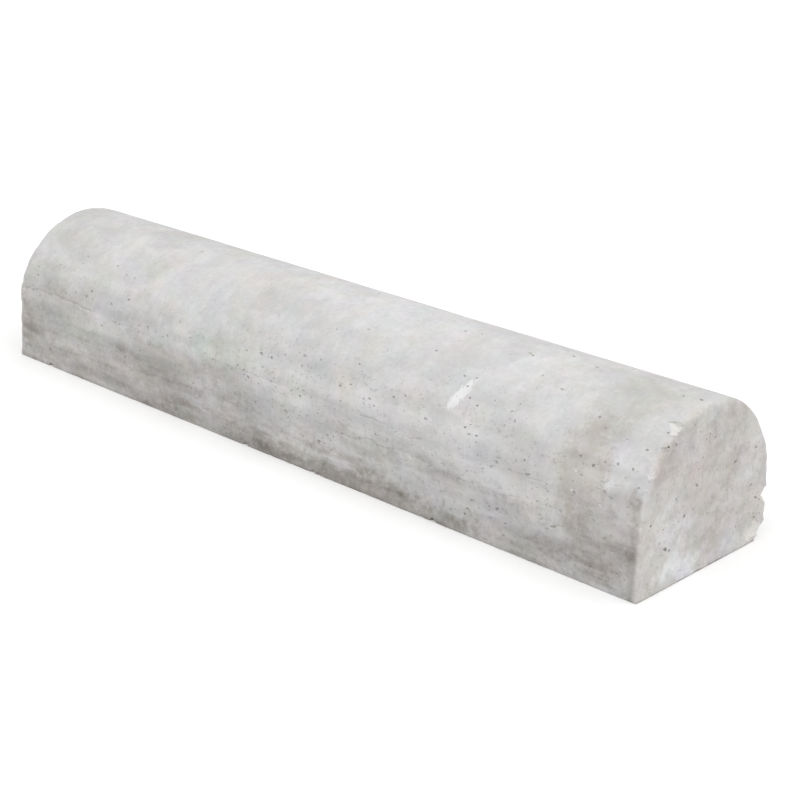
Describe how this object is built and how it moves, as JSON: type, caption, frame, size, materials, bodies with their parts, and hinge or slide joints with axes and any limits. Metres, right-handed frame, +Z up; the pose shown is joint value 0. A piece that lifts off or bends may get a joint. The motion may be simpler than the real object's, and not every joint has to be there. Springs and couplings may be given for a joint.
{
  "type": "concrete kerb stone",
  "caption": "Cast concrete kerb stone with a flat bed, straight drafted side walls, a half-round crown and square ends, laid end to end as an edging or a wheel stop.",
  "frame": {"origin": "middle of the flat bed that the stone rests on", "axes": "+X along the stone, +Y across the bed, +Z up from the bed to the crown"},
  "size_m": [0.8998, 0.1998, 0.16],
  "materials": {
    "concrete": "cast concrete, matt, pitted and weathered"
  },
  "bodies": {
    "root": {"kerb_stone": "concrete"}
  },
  "joints": []
}
